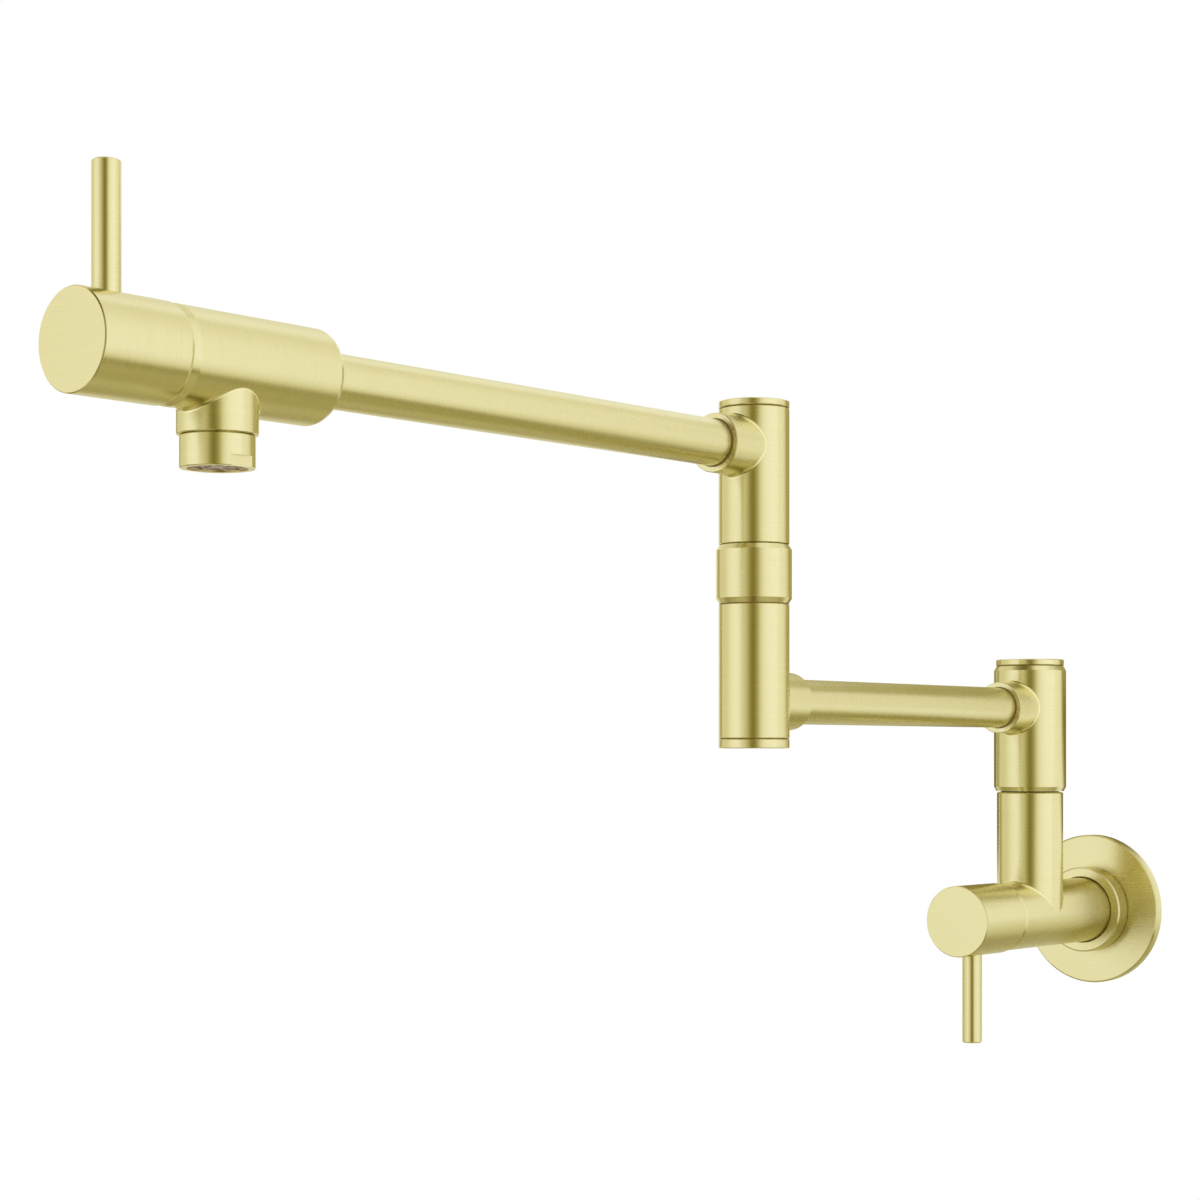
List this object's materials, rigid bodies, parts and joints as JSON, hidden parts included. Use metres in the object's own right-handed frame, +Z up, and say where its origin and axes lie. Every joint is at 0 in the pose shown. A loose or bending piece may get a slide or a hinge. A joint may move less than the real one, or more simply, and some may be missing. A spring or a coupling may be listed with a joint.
{
  "type": "wall mounted pot filler",
  "caption": "Wall mounted pot filler tap in satin brushed gold: a double jointed swing arm with a quarter turn lever valve at the wall and at the spout.",
  "frame": {"origin": "centre of the inlet at the wall plane, on the lower valve's axis", "axes": "+Y points into the wall along the inlet, -Y into the room along the arms at rest, +Z up, +X to the right as seen from the room"},
  "size_m": [0.078, 0.6709, 0.3346],
  "materials": {
    "brushed_gold": "satin brushed pale gold over brass, fine turned lines",
    "brushed_gold_flange": "satin brushed pale gold over brass, straight fine lines",
    "raw_brass": "machined",
    "steel": "bright stainless",
    "ceramic": "lapped alumina ceramic",
    "rubber": "smooth moulded",
    "foam": "closed cell foam",
    "fibre": "pressed fibre",
    "acetal": "turned acetal",
    "aerator_plastic": "moulded, satin"
  },
  "bodies": {
    "wall_valve": {"wall_flange": "brushed_gold_flange", "wall_gasket": "foam", "flange_hub": "brushed_gold", "flange_grip_ring": "rubber", "valve_body": "brushed_gold", "lower_cartridge_housing": "raw_brass", "lower_fibre_washer": "fibre", "lower_seat_seal": "rubber", "lower_fixed_disc": "ceramic", "inner_post": "raw_brass", "inner_post_rings": "rubber", "inner_retainer": "steel"},
    "lower_handle": {"lower_moving_disc": "ceramic", "lower_spindle": "raw_brass", "lower_spindle_ring": "rubber", "lower_spindle_clip": "steel", "lower_knob": "brushed_gold", "lower_lever": "brushed_gold", "lower_grub_screw": "steel"},
    "first_arm": {"inner_bush": "acetal", "inner_slip_washer": "acetal", "inner_sleeve": "brushed_gold", "inner_cap": "brushed_gold", "arm_1_tube": "brushed_gold", "arm_1_tube_rings": "rubber", "outer_lower_body": "brushed_gold", "outer_bottom_cap": "brushed_gold", "outer_collar": "brushed_gold", "outer_post": "raw_brass", "outer_post_rings": "rubber", "outer_retainer": "steel"},
    "second_arm": {"outer_bush": "acetal", "outer_slip_washer": "acetal", "outer_upper_body": "brushed_gold", "outer_top_cap": "brushed_gold", "arm_2_tube": "brushed_gold", "arm_2_tube_rings": "rubber", "head_body": "brushed_gold", "upper_cartridge_housing": "raw_brass", "upper_fibre_washer": "fibre", "upper_seat_seal": "rubber", "upper_fixed_disc": "ceramic", "aerator_shell": "brushed_gold", "aerator_insert": "aerator_plastic", "aerator_screen": "steel", "aerator_washer": "rubber"},
    "upper_handle": {"upper_moving_disc": "ceramic", "upper_spindle": "raw_brass", "upper_spindle_ring": "rubber", "upper_spindle_clip": "steel", "upper_knob": "brushed_gold", "upper_lever": "brushed_gold", "upper_grub_screw": "steel"}
  },
  "joints": [
    {"name": "lower_valve_turn", "type": "hinge", "parent": "wall_valve", "child": "lower_handle", "pos_m": [0, -0.1006, 0], "axis": [0, -1, 0], "range_deg": [0, 90]},
    {"name": "inner_swivel", "type": "hinge", "parent": "wall_valve", "child": "first_arm", "pos_m": [0, -0.0675, 0.105], "axis": [0, 0, 1], "range_deg": [-90, 90]},
    {"name": "outer_swivel", "type": "hinge", "parent": "first_arm", "child": "second_arm", "pos_m": [0, -0.3039, 0.2146], "axis": [0, 0, 1], "range_deg": [-180, 180]},
    {"name": "upper_valve_turn", "type": "hinge", "parent": "second_arm", "child": "upper_handle", "pos_m": [0, -0.6338, 0.2146], "axis": [0, -1, 0], "range_deg": [0, 90]}
  ]
}
